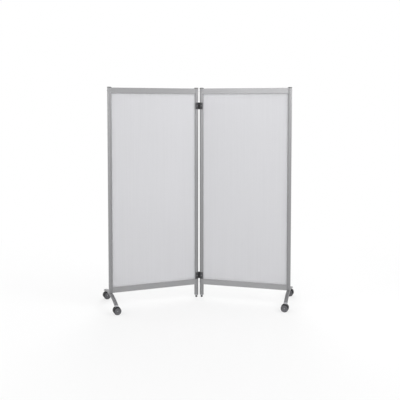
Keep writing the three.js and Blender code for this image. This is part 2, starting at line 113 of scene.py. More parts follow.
lens = bpy.data.cameras.new("camera")
lens.sensor_width = 36
lens.lens = FOCAL_LENGTH / PICTURE_SIZE * lens.sensor_width
lens.shift_y = LENS_AXIS_ROW / PICTURE_SIZE - 0.5
camera = bpy.data.objects.new("camera", lens)
camera.location = CAMERA_PLACE
camera.rotation_euler = (math.pi / 2 - CAMERA_TIP, 0, -CAMERA_TURN)
bpy.context.scene.collection.objects.link(camera)
bpy.context.scene.camera = camera
print("lens:", round(lens.lens, 2), "mm, shift:", round(lens.shift_y, 4))

# %% [markdown]
# ## Light, floor and background
#
# The object is lit as in a white studio: even light from all round, and a wide soft lamp on each
# side of it to give the round posts some shape. The one behind shows that the sheets let light
# through. The powers were solved so that posts, rails and sheets come out as bright as in the
# picture. The background is white for what the camera sees, and for what metal mirrors and the
# sheets let through, but it adds only a plain level of light to the object.

# %% Helpers for nodes
def add_node(tree, kind, values=None, **settings):
    """A node with its settings, whose inputs are given a number or joined to another node."""
    node = tree.nodes.new(kind)
    for setting, value in settings.items():
        setattr(node, setting, value)
    for socket, value in (values or {}).items():
        if isinstance(value, bpy.types.NodeSocket):
            tree.links.new(value, node.inputs[socket])
        else:
            node.inputs[socket].default_value = value
    return node


def either_shader(tree, share, first, second, target):
    """Mixes two shaders by a share of the second, and joins them to the target's surface."""
    shaders = {0: share, 1: first.outputs[0], 2: second.outputs[0]}
    mix = add_node(tree, "ShaderNodeMixShader", shaders)
    tree.links.new(mix.outputs[0], tree.nodes[target].inputs["Surface"])

# %% The white world
AMBIENT_LEVEL = 0.8
WHITE = (1, 1, 1, 1)


def background_rays(tree):
    """A value of 1 for the rays that should see a plain white background, and 0 for the rest."""
    rays = add_node(tree, "ShaderNodeLightPath")
    chosen = rays.outputs["Is Camera Ray"]
    for other in ("Is Glossy Ray", "Is Transmission Ray"):
        either = {0: chosen, 1: rays.outputs[other]}
        chosen = add_node(tree, "ShaderNodeMath", either, operation="MAXIMUM").outputs[0]
    return chosen


def make_world():
    world = bpy.data.worlds.new("white_studio")
    world.use_nodes = True
    tree = world.node_tree
    ambient = tree.nodes["Background"]
    ambient.inputs["Color"].default_value = WHITE
    ambient.inputs["Strength"].default_value = AMBIENT_LEVEL
    white = add_node(tree, "ShaderNodeBackground", {"Color": WHITE, "Strength": 1})
    either_shader(tree, background_rays(tree), ambient, white, "World Output")
    bpy.context.scene.world = world


bpy.context.scene.view_settings.view_transform = "Standard"
make_world()
print("ambient light:", AMBIENT_LEVEL)

# %% The floor
FLOOR_WHITENESS = 0.72
FLOOR_GLOW_NEAR = 0.66  # of what the camera sees of the floor, so that the shadow stays soft
FLOOR_FADE = (1.0, 3.2)  # from the object, where the floor starts and ends to fade into the white
FLOOR_WIDTH = 80


def floor_material():
    material = bpy.data.materials.new("studio_floor")
    material.use_nodes = True
    tree = material.node_tree
    tree.nodes.remove(tree.nodes["Principled BSDF"])
    matte = add_node(tree, "ShaderNodeBsdfDiffuse", {"Color": (FLOOR_WHITENESS,) * 3 + (1,)})
    glow = add_node(tree, "ShaderNodeEmission")
    place = add_node(tree, "ShaderNodeTexCoord").outputs["Object"]
    away = add_node(tree, "ShaderNodeVectorMath", {0: place}, operation="LENGTH")
    near, far = FLOOR_FADE
    fade = add_node(
        tree,
        "ShaderNodeMapRange",
        {
            "Value": away.outputs["Value"],
            "From Min": near,
            "From Max": far,
            "To Min": FLOOR_GLOW_NEAR,
        },
        interpolation_type="SMOOTHSTEP",
    )
    factors = {0: background_rays(tree), 1: fade.outputs["Result"]}
    share = add_node(tree, "ShaderNodeMath", factors, operation="MULTIPLY").outputs[0]
    either_shader(tree, share, matte, glow, "Material Output")
    return material


def make_floor():
    mesh = bpy.data.meshes.new("studio_floor")
    half = FLOOR_WIDTH / 2
    corners = [(-half, -half, 0), (half, -half, 0), (half, half, 0), (-half, half, 0)]
    mesh.from_pydata(corners, [], [(0, 1, 2, 3)])
    floor = bpy.data.objects.new("studio_floor", mesh)
    floor.data.materials.append(floor_material())
    bpy.context.scene.collection.objects.link(floor)
    floor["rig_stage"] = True


make_floor()
print("floor:", FLOOR_WIDTH, "m wide")

# %% The lamps
LAMPS = {  # place, width and watts
    "left_lamp": ((-3.9, -0.9, 2.6), 2.6, 50),
    "front_lamp": ((-1.4, -5.3, 2.6), 2.6, 70),
    "right_lamp": ((2.1, -1.0, 2.5), 1.4, 34),
    "back_lamp": ((0.3, 4.0, 2.8), 2.6, 110),
}


def soft_lamp(name, place, width, watts):
    """A square lamp that faces the middle of the object."""
    lamp = bpy.data.lights.new(name, "AREA")
    lamp.size = width
    lamp.energy = watts
    lamp_object = bpy.data.objects.new(name, lamp)
    lamp_object.location = place
    aim = (cad_low + cad_high) / 2 - Vector(place)
    lamp_object.rotation_euler = aim.to_track_quat("-Z", "Y").to_euler()
    bpy.context.scene.collection.objects.link(lamp_object)


for lamp_name, lamp_settings in LAMPS.items():
    soft_lamp(lamp_name, *lamp_settings)
print("lamps:", list(LAMPS))

# %% [markdown]
# ## Places
#
# Both panels are the same thing turned about the hinge pins, so each piece is drawn once in its
# panel's own axes: x from the pins to the outer post, z up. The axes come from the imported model.
# A piece could be drawn in place, but then each would need the panels' angle in its numbers.

# %% The axes of each panel
SEAT_GAP = 0.0003  # between two pieces that touch
PANELS = ("left", "right")
UP = Vector((0, 0, 1))


def middle(node):
    low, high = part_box(node)
    return (low + high) / 2


def flat(vector):
    return Vector((vector.x, vector.y, 0))


def axes_from(origin, towards):
    """A frame on the floor at origin, with x towards the other point and z up."""
    x = flat(towards - origin).normalized()
    columns = Matrix((x, UP.cross(x), UP)).transposed().to_4x4()
    return Matrix.Translation(flat(origin)) @ columns


def lifted(height):
    return Matrix.Translation((0, 0, height))


fold = next(joint for joint in frame["joints"] if joint["name"] == "panel_fold")
pin_axis = flat(Vector(fold["pos_m"]))
panel_axes = {name: axes_from(pin_axis, middle(f"{name}_outer_cap")) for name in PANELS}
BACKWARDS = {"left": -1, "right": 1}  # the sign of each panel's y towards the back
inner_post_x = flat(middle("right_inner_cap") - pin_axis).length
outer_post_x = flat(middle("right_outer_cap") - pin_axis).length
print("post axes from the pins:", round(inner_post_x, 4), round(outer_post_x, 4))

# %% [markdown]
# ## Outlines and solids
#
# Extruded metal and moulded plastic have no truly sharp edges, and it is the small round on an
# edge that catches the light. A Bevel modifier can add it, but here most shapes start as a drawn
# outline, so the corners are rounded in the outline and the solid is lofted or turned from it.

# %% Helpers that draw outlines
SIDE_SHARE = 0.49  # of a side that a rounded corner may take


def rounded(points, radius, steps=4, closed=True):
    """The outline with its corners rounded. radius is one size, or one for each point."""
    radii = radius if isinstance(radius, (list, tuple)) else [radius] * len(points)
    result = []
    for i, (here, size) in enumerate(zip(points, radii)):
        at_end = not closed and i in (0, len(points) - 1)
        before = Vector(points[i - 1]) - Vector(here)
        after = Vector(points[(i + 1) % len(points)]) - Vector(here)
        if at_end or size == 0 or min(before.length, after.length) == 0:
            result.append(tuple(here))
            continue
        half_angle = before.angle(after) / 2
        reach = min(size / math.tan(half_angle), SIDE_SHARE * min(before.length, after.length))
        start = Vector(here) + before.normalized() * reach
        end = Vector(here) + after.normalized() * reach
        for k in range(steps + 1):
            t = k / steps
            point = start * (1 - t) ** 2 + Vector(here) * 2 * t * (1 - t) + end * t**2
            result.append(tuple(point))
    return result


def arc(radius, start, end, steps, centre=(0, 0)):
    """Points round a centre, from one angle to the other, in degrees."""
    angles = [math.radians(start + (end - start) * k / steps) for k in range(steps + 1)]
    return [(centre[0] + radius * math.cos(a), centre[1] + radius * math.sin(a)) for a in angles]


def oval(width, height, steps=10):
    """A flat-sided oval round the origin."""
    end = height / 2
    flat_half = width / 2 - end
    right = arc(end, -90, 90, steps, (flat_half, 0))
    left = arc(end, 90, 270, steps, (-flat_half, 0))
    return right + left

# %% Helpers that make solids of them
ON_AXIS = 1e-7  # a radius under this closes a turned solid in one point


def loft(loops):
    """A closed solid through loops of points, each with the same number of points."""
    bm = bmesh.new()
    rings = [[bm.verts.new(point) for point in loop] for loop in loops]
    for low, high in zip(rings, rings[1:]):
        for i in range(len(low)):
            j = (i + 1) % len(low)
            bm.faces.new((low[i], low[j], high[j], high[i]))
    bm.faces.new(rings[0])
    bm.faces.new(rings[-1])
    bmesh.ops.recalc_face_normals(bm, faces=bm.faces)
    return bm


def raised(outline, low, high, edge=0.0, steps=3):
    """An outline round the origin raised from low to high, with both ends rounded by edge."""
    widest = max(Vector(point).length for point in outline)
    levels = []
    for k in range(steps + 1):
        turn = math.pi / 2 * k / steps
        levels.append((low + edge * (1 - math.sin(turn)), edge * (1 - math.cos(turn))))
    levels.reverse()
    levels += [(high - (z - low), inset) for z, inset in reversed(levels)]
    if edge == 0:
        levels = [(low, 0), (high, 0)]
    loops = []
    for z, inset in levels:
        share = 1 - inset / widest
        loops.append([(x * share, y * share, z) for x, y in outline])
    return loft(loops)


def turned(profile, sides=64, ring=False, start=0.0, end=360.0):
    """A profile of (radius, height) points turned about z, whole or from start to end."""
    bm = bmesh.new()
    whole = end - start >= 360
    count = sides if whole else sides + 1
    angles = [math.radians(start + (end - start) * k / sides) for k in range(count)]
    rings = []
    for radius, height in profile:
        around = [(radius * math.cos(a), radius * math.sin(a), height) for a in angles]
        if radius < ON_AXIS:
            around = around[:1]
        rings.append([bm.verts.new(point) for point in around])
    pairs = list(zip(rings, rings[1:]))
    if ring:
        pairs.append((rings[-1], rings[0]))
    for low, high in pairs:
        for i in range(sides):
            j = (i + 1) % count
            corners = [low[i % len(low)], low[j % len(low)]]
            corners += [high[j % len(high)], high[i % len(high)]]
            corners = list(dict.fromkeys(corners))
            if len(corners) > 2:
                bm.faces.new(corners)
    if not whole:
        bm.faces.new([around[0] for around in rings])
        bm.faces.new([around[-1] for around in rings])
    bmesh.ops.recalc_face_normals(bm, faces=bm.faces)
    return bm


def rod(radius, low, high, sides):
    return turned([(0, low), (radius, low), (radius, high), (0, high)], sides)


def moved(bm, matrix):
    bm.transform(matrix)
    return bm

# %% [markdown]
# Some pieces are one moulding made of several plain forms, such as a hinge leaf with its clip,
# web and knuckle. They are joined and cut with the Boolean modifier's exact solver, and the
# result is taken off the evaluated object as a plain mesh.

# %% Joining, cutting and easing
WELD_DISTANCE = 1e-6


def temporary_object(bm):
    mesh = bpy.data.meshes.new("temporary")
    bm.to_mesh(mesh)
    bm.free()
    thing = bpy.data.objects.new("temporary", mesh)
    bpy.context.scene.collection.objects.link(thing)
    return thing


def worked(base, *steps):
    """The solid after each step: ("UNION", "DIFFERENCE" or "INTERSECT", solid)."""
    block = temporary_object(base)
    for operation, tool_solid in steps:
        tool = temporary_object(tool_solid)
        change = block.modifiers.new("boolean", "BOOLEAN")
        change.operation = operation
        change.solver = "EXACT"
        change.object = tool
        depsgraph = bpy.context.evaluated_depsgraph_get()
        result = bpy.data.meshes.new_from_object(block.evaluated_get(depsgraph))
        block.modifiers.clear()
        block.data = result
        bpy.data.objects.remove(tool)
    bm = bmesh.new()
    bm.from_mesh(block.data)
    bpy.data.objects.remove(block)
    bmesh.ops.remove_doubles(bm, verts=bm.verts, dist=WELD_DISTANCE)
    return bm


def eased(bm, size, angle=40, segments=2):
    """Rounds the edges where two faces meet at more than the angle."""
    two_sided = [edge for edge in bm.edges if len(edge.link_faces) == 2]
    sharp = [edge for edge in two_sided if edge.calc_face_angle(0) > math.radians(angle)]
    shape = {"profile": 0.5, "affect": "EDGES", "clamp_overlap": True}
    bmesh.ops.bevel(bm, geom=sharp, offset=size, segments=segments, **shape)
    return bm

# %% Finished pieces
SHARP_ANGLE = 32  # degrees between two faces, past which the edge between them shows


def plain_object(name, bm, place):
    """The solid as a smooth-shaded object at the origin, with its place in its mesh."""
    bm.transform(place)
    mesh = bpy.data.meshes.new(name)
    bm.to_mesh(mesh)
    bm.free()
    mesh.shade_smooth()
    mesh.set_sharp_from_angle(angle=math.radians(SHARP_ANGLE))
    thing = bpy.data.objects.new(name, mesh)
    bpy.context.scene.collection.objects.link(thing)
    return thing


def coated(thing, finish):
    thing.data.materials.clear()
    thing.data.materials.append(finishes[finish])


def stand_in(node, bm, place, finish):
    """Makes the finished piece, which rides with its node's body and takes its place."""
    print(node, "faces:", len(bm.faces))
    thing = plain_object(f"{node}_finished", bm, place)
    coated(thing, finish)
    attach(thing, frame["nodes"][node]["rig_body"])
    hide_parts(node)

# %% [markdown]
# ## Finishes
#
# Each finish is a Principled shader whose fixed numbers sit on its own sockets. What changes over
# the surface comes from noise in object coordinates, in real sizes: a slow drift of the colour,
# a fine grain in the gloss, and a bump a few hundredths of a millimetre deep. Drawn lines on the
# rails come from the same noise, stretched along the rail.

# %% Helpers for the finishes
finishes = {}


def plain_finish(name, color, roughness, metallic=0.0, specular=0.5):
    material = bpy.data.materials.new(name)
    material.use_nodes = True
    shader = material.node_tree.nodes["Principled BSDF"]
    shader.inputs["Base Color"].default_value = (*color, 1)
    shader.inputs["Roughness"].default_value = roughness
    shader.inputs["Metallic"].default_value = metallic
    shader.inputs["Specular IOR Level"].default_value = specular
    finishes[name] = material
    print("finish:", name)
    return material


def object_place(material, stretch=(1, 1, 1), turn=0.0):
    """Object coordinates, stretched and turned about z, for a pattern in real sizes."""
    tree = material.node_tree
    source = add_node(tree, "ShaderNodeTexCoord").outputs["Object"]
    values = {"Rotation": (0, 0, turn), "Scale": stretch, "Vector": source}
    mapping = add_node(tree, "ShaderNodeMapping", values, vector_type="TEXTURE")
    return mapping.outputs["Vector"]


def noise(material, place, grains_per_metre, detail=2.0):
    values = {"Scale": grains_per_metre, "Detail": detail, "Vector": place}
    return add_node(material.node_tree, "ShaderNodeTexNoise", values).outputs["Fac"]


def spread(material, value, low, high, start=0.3, end=0.7):
    """Brings a noise value between two numbers."""
    values = {"Value": value, "From Min": start, "From Max": end, "To Min": low, "To Max": high}
    return add_node(material.node_tree, "ShaderNodeMapRange", values).outputs["Result"]


def vary_color(material, value, first, second):
    """The colour between the two as the value says, also returned for other uses."""
    tree = material.node_tree
    values = {"A": (*first, 1), "B": (*second, 1), "Factor": spread(material, value, 0, 1)}
    color = add_node(tree, "ShaderNodeMix", values, data_type="RGBA").outputs["Result"]
    tree.links.new(color, tree.nodes["Principled BSDF"].inputs["Base Color"])
    return color


def vary_roughness(material, value, low, high):
    shader = material.node_tree.nodes["Principled BSDF"]
    material.node_tree.links.new(spread(material, value, low, high), shader.inputs["Roughness"])


def add_bump(material, value, depth):
    """A bump of a real depth, in metres, from a value between 0 and 1."""
    tree = material.node_tree
    bump = add_node(tree, "ShaderNodeBump", {"Distance": depth, "Strength": 1, "Height": value})
    tree.links.new(bump.outputs["Normal"], tree.nodes["Principled BSDF"].inputs["Normal"])


def scaled(color, factor):
    return tuple(channel * factor for channel in color)

# %% [markdown]
# ** Silver paint.** The posts and feet are powder coated in a satin silver grey. The feet take a
# darker copy of the same paint, which is painted shade that darkens their lit tops. Up close such
# a coat has fine metal flakes and a faint orange-peel surface. The flakes are a high noise in the
# colour, the orange peel a slower one in the bump.

# %% Silver paint
SILVER = (0.260, 0.260, 0.266)
# painted shade: the same silver made darker for the feet, whose tops catch the light from above
SHADED_FOOT_SILVER = (0.185, 0.185, 0.191)
FLAKES = 1400  # to the metre, as for every grain below
ORANGE_PEEL = 420
PEEL_DEPTH = 0.00003


def silver_paint(name, color):
    material = plain_finish(name, color, 0.42, metallic=0.35)
    place = object_place(material)
    flakes = noise(material, place, FLAKES, 3)
    vary_color(material, flakes, scaled(color, 0.94), scaled(color, 1.05))
    vary_roughness(material, noise(material, place, 60), 0.38, 0.47)
    add_bump(material, noise(material, place, ORANGE_PEEL), PEEL_DEPTH)


silver_paint("silver_paint", SILVER)
silver_paint("foot_silver_painted_shade", SHADED_FOOT_SILVER)

# %% [markdown]
# **Anodised rails.** The rails are drawn aluminium, so they carry fine lines along their length
# under a satin anodised skin. The noise is stretched along each rail, which needs one turn of the
# pattern for each panel, because both panels are angled.

# %% Anodised rails
ALLOY = (0.318, 0.318, 0.324)
LINES = 900
LINE_STRETCH = 60
LINE_DEPTH = 0.000012


def rail_alloy(panel):
    name = f"rail_alloy_{panel}"
    material = plain_finish(name, ALLOY, 0.4, metallic=0.45)
    x_axis = panel_axes[panel].col[0]
    turn = math.atan2(x_axis.y, x_axis.x)
    place = object_place(material, stretch=(LINE_STRETCH, 1, 1), turn=turn)
    lines = noise(material, place, LINES, 3)
    vary_color(material, lines, scaled(ALLOY, 0.95), scaled(ALLOY, 1.04))
    vary_roughness(material, noise(material, place, 300), 0.34, 0.44)
    add_bump(material, lines, LINE_DEPTH)


for panel in PANELS:
    rail_alloy(panel)

# %% [markdown]
# **Translucent sheet.** The panels are filled with extruded twin-wall sheet: two thin skins with
# upright ribs between them. Light comes through it softened, and extrusion leaves faint upright
# streaks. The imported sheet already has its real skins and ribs, so only the material is made
# here: a Translucent shader lets most of the light through each skin and scatters it, and long
# thin noise gives the streaks. Rough glass would do too, but things behind it would show through.

# %% Translucent sheet
SHEET_TINT = (0.850, 0.850, 0.859)
SHEET_THROUGH = 0.66  # the share of light that goes through a skin's surface
STREAKS = 130
STREAK_STRETCH = 90
STREAK_DEPTH = 0.00006


def translucent_sheet():
    material = plain_finish("translucent_sheet", SHEET_TINT, 0.42, specular=0.3)
    tree = material.node_tree
    upright = object_place(material, stretch=(1, 1, STREAK_STRETCH))
    streaks = noise(material, upright, STREAKS, 4)
    tint = vary_color(material, streaks, scaled(SHEET_TINT, 0.985), scaled(SHEET_TINT, 1.01))
    vary_roughness(material, noise(material, object_place(material), 9), 0.36, 0.5)
    add_bump(material, streaks, STREAK_DEPTH)
    through = add_node(tree, "ShaderNodeBsdfTranslucent", {"Color": tint})
    skin = tree.nodes["Principled BSDF"]
    either_shader(tree, SHEET_THROUGH, skin, through, "Material Output")


translucent_sheet()

# %% [markdown]
# **Plastics.** Caps, plugs, hinge leaves, wheels and housings are moulded, with a spark-eroded
# grain that keeps them from shining. They differ in colour and gloss, so one function makes them.

# %% Moulded plastics
MOULD_GRAIN = 1800
MOULD_DEPTH = 0.00002
PLASTICS = {  # colour, roughness and strength of the gloss
    "cap_plastic": ((0.095, 0.095, 0.099), 0.5, 0.35),
    "hinge_plastic": ((0.053, 0.053, 0.056), 0.55, 0.28),
    "pale_plastic": ((0.42, 0.42, 0.44), 0.5, 0.4),
    "black_plastic": ((0.012, 0.012, 0.013), 0.55, 0.25),
    "wheel_plastic": ((0.118, 0.118, 0.126), 0.5, 0.35),
}


def moulded_plastic(name, color, roughness, specular):
    material = plain_finish(name, color, roughness, specular=specular)
    place = object_place(material)
    vary_color(material, noise(material, place, 35), scaled(color, 0.93), scaled(color, 1.07))
    grain = noise(material, place, MOULD_GRAIN, 3)
    vary_roughness(material, grain, roughness - 0.06, roughness + 0.08)
    add_bump(material, grain, MOULD_DEPTH)


for plastic, look in PLASTICS.items():
    moulded_plastic(plastic, *look)

# %% [markdown]
# **Rubber and steel.** The tyres are soft dark rubber with dusty scuffs. Stems, axles and pins
# are zinc plated, which is bright, slightly blue and a little cloudy. The screws are the same
# steel under a darker coat.

# %% Tyre rubber and plated steel
RUBBER = (0.024, 0.024, 0.026)
ZINC = (0.56, 0.57, 0.585)
SCREW_STEEL = (0.27, 0.27, 0.28)
SCUFFS = 140
CLOUDS = 260
RUBBER_DEPTH = 0.00004
STEEL_DEPTH = 0.000008


def tyre_rubber():
    material = plain_finish("tyre_rubber", RUBBER, 0.7, specular=0.25)
    place = object_place(material)
    scuffs = noise(material, place, SCUFFS, 5)
    vary_color(material, scuffs, scaled(RUBBER, 0.85), scaled(RUBBER, 1.5))
    vary_roughness(material, noise(material, place, 90), 0.62, 0.85)
    add_bump(material, noise(material, place, 1100, 3), RUBBER_DEPTH)


def plated_steel(name, color):
    material = plain_finish(name, color, 0.3, metallic=1.0)
    place = object_place(material)
    clouds = noise(material, place, CLOUDS, 3)
    vary_color(material, clouds, scaled(color, 0.88), scaled(color, 1.06))
    vary_roughness(material, noise(material, place, 420), 0.24, 0.4)
    add_bump(material, noise(material, place, 900), STEEL_DEPTH)


tyre_rubber()
plated_steel("zinc_steel", ZINC)
plated_steel("screw_steel", SCREW_STEEL)

# %% [markdown]
# ## Posts
#
# A post is a round extruded tube with a square groove that takes the edge of the sheet. Its
# outline is one arc and the groove, with small rounds on the groove's lips, lofted up the post.
# The caps and plugs close both ends, so the tube is drawn solid.

# %% Posts
POST_DIAMETER = 0.032
GROOVE_DEPTH = 0.005
SHEET_THICKNESS = 0.008
GROOVE_LIP = 0.0007
POST_SIDES = 72
POST_EDGE = 0.0003
groove_half = SHEET_THICKNESS / 2 + SEAT_GAP


def post_outline(diameter=POST_DIAMETER, clearance=0.0, lip=GROOVE_LIP):
    """The post's section with its groove on +x, or what fits inside it."""
    radius = diameter / 2 - clearance
    half = groove_half + clearance
    mouth = math.degrees(math.asin(half / radius))
    around = arc(radius, mouth, 360 - mouth, POST_SIDES)
    floor_x = POST_DIAMETER / 2 - GROOVE_DEPTH - clearance
    points = around + [(floor_x, -half), (floor_x, half)]
    radii = [lip] + [0] * (len(around) - 2) + [lip, lip / 2, lip / 2]
    return rounded(points, radii, steps=3)


def post_place(panel, end):
    """The frame of a panel's inner or outer post, with x towards the sheet."""
    x, turn = {"inner": (inner_post_x, 0), "outer": (outer_post_x, math.pi)}[end]
    return panel_axes[panel] @ Matrix.Translation((x, 0, 0)) @ Matrix.Rotation(turn, 4, "Z")


posts = [(panel, end) for panel in PANELS for end in ("inner", "outer")]

for panel, end in posts:
    node = f"{panel}_{end}_post"
    low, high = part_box(node)
    bar = raised(post_outline(), low.z, high.z, POST_EDGE)
    stand_in(node, bar, post_place(panel, end), "silver_paint")

# %% [markdown]
# ## Caps, plugs and glides
#
# The grey cap has a crowned flange with a small dimple, and a push-in insert that follows the
# tube's section, groove and all. The inner post ends in a tapered plug with a black glide. All
# are turned shapes, and the inserts are joined on.

# %% Caps
CAP_DIAMETER = 0.035
CAP_HEIGHT = 0.0065
CAP_BAND = 0.0032  # upright edge below the crown
DIMPLE_RADIUS = 0.0032
DIMPLE_DEPTH = 0.0005
INSERT_DEPTH = 0.022
POST_WALL = 0.0015
BOND = 0.001  # how far a joined solid sinks into what carries it, and a cutter runs past


def insert_solid(low, high):
    return raised(post_outline(clearance=POST_WALL + SEAT_GAP), low, high, edge=0.0004)


def cap_solid(seat, post_top):
    radius = CAP_DIAMETER / 2
    top = seat + CAP_HEIGHT
    crown = [
        (0, seat),
        (radius, seat),
        (radius, seat + CAP_BAND),
        (radius - 0.0015, top - 0.0013),
        (radius - 0.006, top - 0.0003),
        (DIMPLE_RADIUS, top),
        (DIMPLE_RADIUS - 0.0004, top - DIMPLE_DEPTH),
        (0, top - DIMPLE_DEPTH),
    ]
    edges = [0, 0.0005, 0.0012, 0.002, 0.004, 0.0001, 0.0001, 0]
    flange = turned(rounded(crown, edges, closed=False))
    return worked(flange, ("UNION", insert_solid(post_top - INSERT_DEPTH, seat + BOND)))


for panel, end in posts:
    node = f"{panel}_{end}_cap"
    cap_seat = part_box(node)[1].z - CAP_HEIGHT
    cap = cap_solid(cap_seat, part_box(f"{panel}_{end}_post")[1].z)
    stand_in(node, cap, post_place(panel, end), "cap_plastic")

# %% Plugs and glides of the inner posts
PLUG_TIP_DIAMETER = 0.022
PLUG_BAND = 0.002
GLIDE_DIAMETER = 0.017
GLIDE_HEIGHT = 0.011
GLIDE_STEM_DIAMETER = 0.008
THREAD_PITCH = 0.00125
THREAD_DEPTH = 0.0005
THREAD_HALF = 0.0004  # of the width of its groove
THREAD_LAND = 0.0002  # plain stem below each turn
THREAD_STOP = 0.001  # plain stem left above the last turn


def plug_solid(low, post_bottom):
    shoulder = post_bottom - SEAT_GAP
    radius = POST_DIAMETER / 2
    bore = GLIDE_STEM_DIAMETER / 2 + SEAT_GAP
    taper = [
        (bore, low),
        (PLUG_TIP_DIAMETER / 2, low),
        (radius, shoulder - PLUG_BAND),
        (radius, shoulder),
        (bore, shoulder),
    ]
    body = turned(rounded(taper, [0, 0.0012, 0.002, 0.0003, 0]), ring=True)
    return worked(
        body,
        ("UNION", insert_solid(shoulder - BOND, shoulder + INSERT_DEPTH)),
        ("DIFFERENCE", rod(bore, low - BOND, shoulder + INSERT_DEPTH + BOND, 32)),
    )


def glide_solid(top):
    """A moulded pad on a threaded stem, whose thread shows between the pad and the plug."""
    radius = GLIDE_DIAMETER / 2
    stem = GLIDE_STEM_DIAMETER / 2
    pad = [(0, 0), (radius, 0), (radius, GLIDE_HEIGHT), (stem, GLIDE_HEIGHT)]
    profile = rounded(pad, [0, 0.0018, 0.0022, 0], closed=False)
    z = GLIDE_HEIGHT
    while z + THREAD_PITCH < top - THREAD_STOP:
        root = z + THREAD_LAND + THREAD_HALF
        profile += [(stem, root - THREAD_HALF), (stem - THREAD_DEPTH, root)]
        profile.append((stem, root + THREAD_HALF))
        z += THREAD_PITCH
    profile += [(stem, top - 0.0006), (stem - 0.0006, top), (0, top)]
    return turned(profile, 48)


for panel in PANELS:
    plug_node, glide_node = f"{panel}_inner_plug", f"{panel}_glide"
    plug = plug_solid(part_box(plug_node)[0].z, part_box(f"{panel}_inner_post")[0].z)
    stand_in(plug_node, plug, post_place(panel, "inner"), "pale_plastic")
    glide = glide_solid(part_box(glide_node)[1].z)
    stand_in(glide_node, glide, post_place(panel, "inner"), "black_plastic")

# %% [markdown]
# ## Rails
#
# Each rail is an extrusion with a slot for the sheet's edge, saddle cut at both ends to sit
# against the round posts. The cut needs no Boolean: every point of the section simply stops where
# it meets the post's round, so the section's flat sides are divided finely first.

# %% Rails
RAIL_THICKNESS = 0.022
RAIL_SLOT_DEPTH = 0.012
RAIL_CORNER = 0.002
RAIL_LIP = 0.0006
SECTION_STEP = 0.0015  # the longest side of a rail's section, for its saddle cut


def divided(outline, longest):
    """The outline with extra points, so that no side is longer than that."""
    result = []
    for i, point in enumerate(outline):
        here, after = Vector(point), Vector(outline[(i + 1) % len(outline)])
        pieces = max(1, math.ceil((after - here).length / longest))
        result += [tuple(here.lerp(after, k / pieces)) for k in range(pieces)]
    return result


def rail_outline(low, high, slot_up):
    """The section as (y, z) points."""
    half = RAIL_THICKNESS / 2
    height = high - low
    slot_floor = height - RAIL_SLOT_DEPTH
    points = [
        (-half, 0),
        (half, 0),
        (half, height),
        (groove_half, height),
        (groove_half, slot_floor),
        (-groove_half, slot_floor),
        (-groove_half, height),
        (-half, height),
    ]
    radii = [RAIL_CORNER] * 2 + [RAIL_LIP] * 2 + [0] * 2 + [RAIL_LIP] * 2
    section = divided(rounded(points, radii), SECTION_STEP)
    return [(y, low + z if slot_up else high - z) for y, z in section]


def rail_solid(low, high, slot_up):
    seat = POST_DIAMETER / 2 + SEAT_GAP
    section = rail_outline(low, high, slot_up)
    inner_end = [(inner_post_x + math.sqrt(seat**2 - y**2), y, z) for y, z in section]
    outer_end = [(outer_post_x - math.sqrt(seat**2 - y**2), y, z) for y, z in section]
    return loft([inner_end, outer_end])


for panel in PANELS:
    for rail, slot_up in (("bottom_rail", True), ("top_rail", False)):
        node = f"{panel}_{rail}"
        low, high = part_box(node)
        bar = rail_solid(low.z, high.z, slot_up)
        stand_in(node, bar, panel_axes[panel], f"rail_alloy_{panel}")

# %% [markdown]
# ## Sheets
#
# The twin-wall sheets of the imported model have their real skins, ribs and open cells, so they
# stay as they are and only take the translucent finish.

# %% Sheets
for panel in PANELS:
    coated(frame["nodes"][f"{panel}_sheet"], "translucent_sheet")
print("sheets kept:", len(PANELS))

# %% [markdown]
# ## Feet
#
# A foot is a flat oval tube bent to one arc, which is a rule: a section swept along a curve. So
# it is made with Geometry Nodes. The tree draws the arc, draws the oval as a rectangle with
# fully rounded corners, and sweeps one along the other. Its inputs are the real sizes.

# %% What every node tree begins and ends with
def new_tree(name, kinds):
    """A Geometry Nodes tree with named inputs, what they give, and the identifier of each."""
    tree = bpy.data.node_groups.new(name, "GeometryNodeTree")
    keys = {}
    for label, kind in {"Geometry": "Geometry", **kinds, "Material": "Material"}.items():
        kind = f"NodeSocket{kind}"
        socket = tree.interface.new_socket(label, in_out="INPUT", socket_type=kind)
        keys[label] = socket.identifier
    tree.interface.new_socket("Geometry", in_out="OUTPUT", socket_type="NodeSocketGeometry")
    return tree, add_node(tree, "NodeGroupInput").outputs, keys


def end_tree(tree, given, geometry):
    """Every tree ends in Realize Instances and Set Material."""
    real = add_node(tree, "GeometryNodeRealizeInstances", {"Geometry": geometry})
    values = {"Geometry": real.outputs[0], "Material": given["Material"]}
    painted = add_node(tree, "GeometryNodeSetMaterial", values)
    add_node(tree, "NodeGroupOutput", {"Geometry": painted.outputs[0]})


def grown(name, base, tree, keys, settings):
    """The mesh that the tree makes on the base object, as a plain object."""
    grower = base.modifiers.new(name, "NODES")
    grower.node_group = tree
    for label, value in settings.items():
        grower[keys[label]] = value
    depsgraph = bpy.context.evaluated_depsgraph_get()
    mesh = bpy.data.meshes.new_from_object(base.evaluated_get(depsgraph))
    base.modifiers.clear()
    bm = bmesh.new()
    bm.from_mesh(mesh)
    bpy.data.objects.remove(base)
    bmesh.ops.remove_doubles(bm, verts=bm.verts, dist=WELD_DISTANCE)
    bmesh.ops.recalc_face_normals(bm, faces=bm.faces)
    print(name, "faces:", len(bm.faces))
    return bm

# %% A node tree for a bent oval tube
END_SHARE = 0.4999  # of the tube's height: the radius of its round ends, just under a half
CORNER_COUNT = 10  # points on each of the oval's corners


